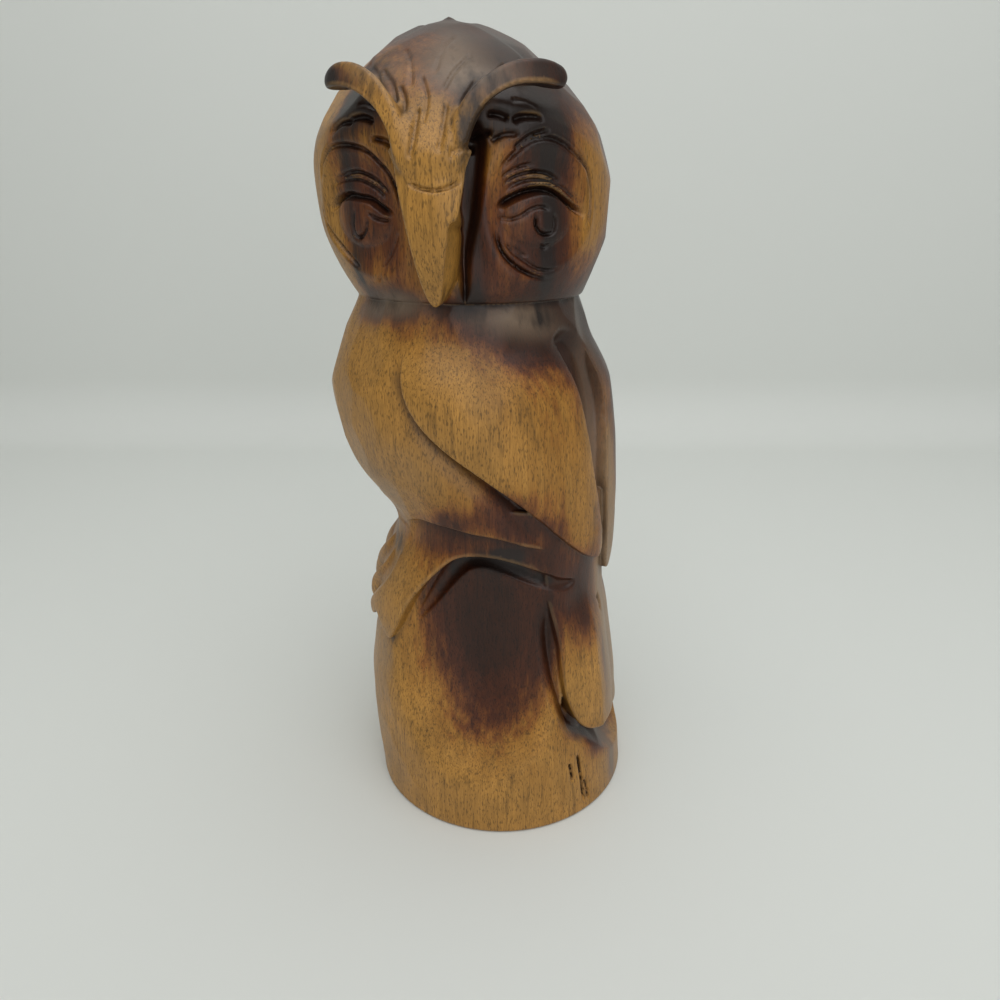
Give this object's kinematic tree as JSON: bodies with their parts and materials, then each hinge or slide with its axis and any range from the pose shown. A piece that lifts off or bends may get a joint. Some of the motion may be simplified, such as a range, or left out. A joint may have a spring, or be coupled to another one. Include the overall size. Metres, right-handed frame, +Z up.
{
  "type": "carved wooden owl",
  "caption": "Wooden owl carved from one leaning log, perched on its stump with folded wings and looking back over its left shoulder.",
  "frame": {"origin": "middle of the round flat underside of the stump", "axes": "+Z up, -Y the way the owl's face looks, +X towards the owl's own left"},
  "size_m": [0.0933, 0.0913, 0.2286],
  "materials": {
    "oiled_wood": "Solid hardwood with golden sapwood and dark brown heartwood, knife facets and open pores, under a satin lacquer"
  },
  "bodies": {
    "root": {"carved_owl": "oiled_wood"}
  },
  "joints": []
}
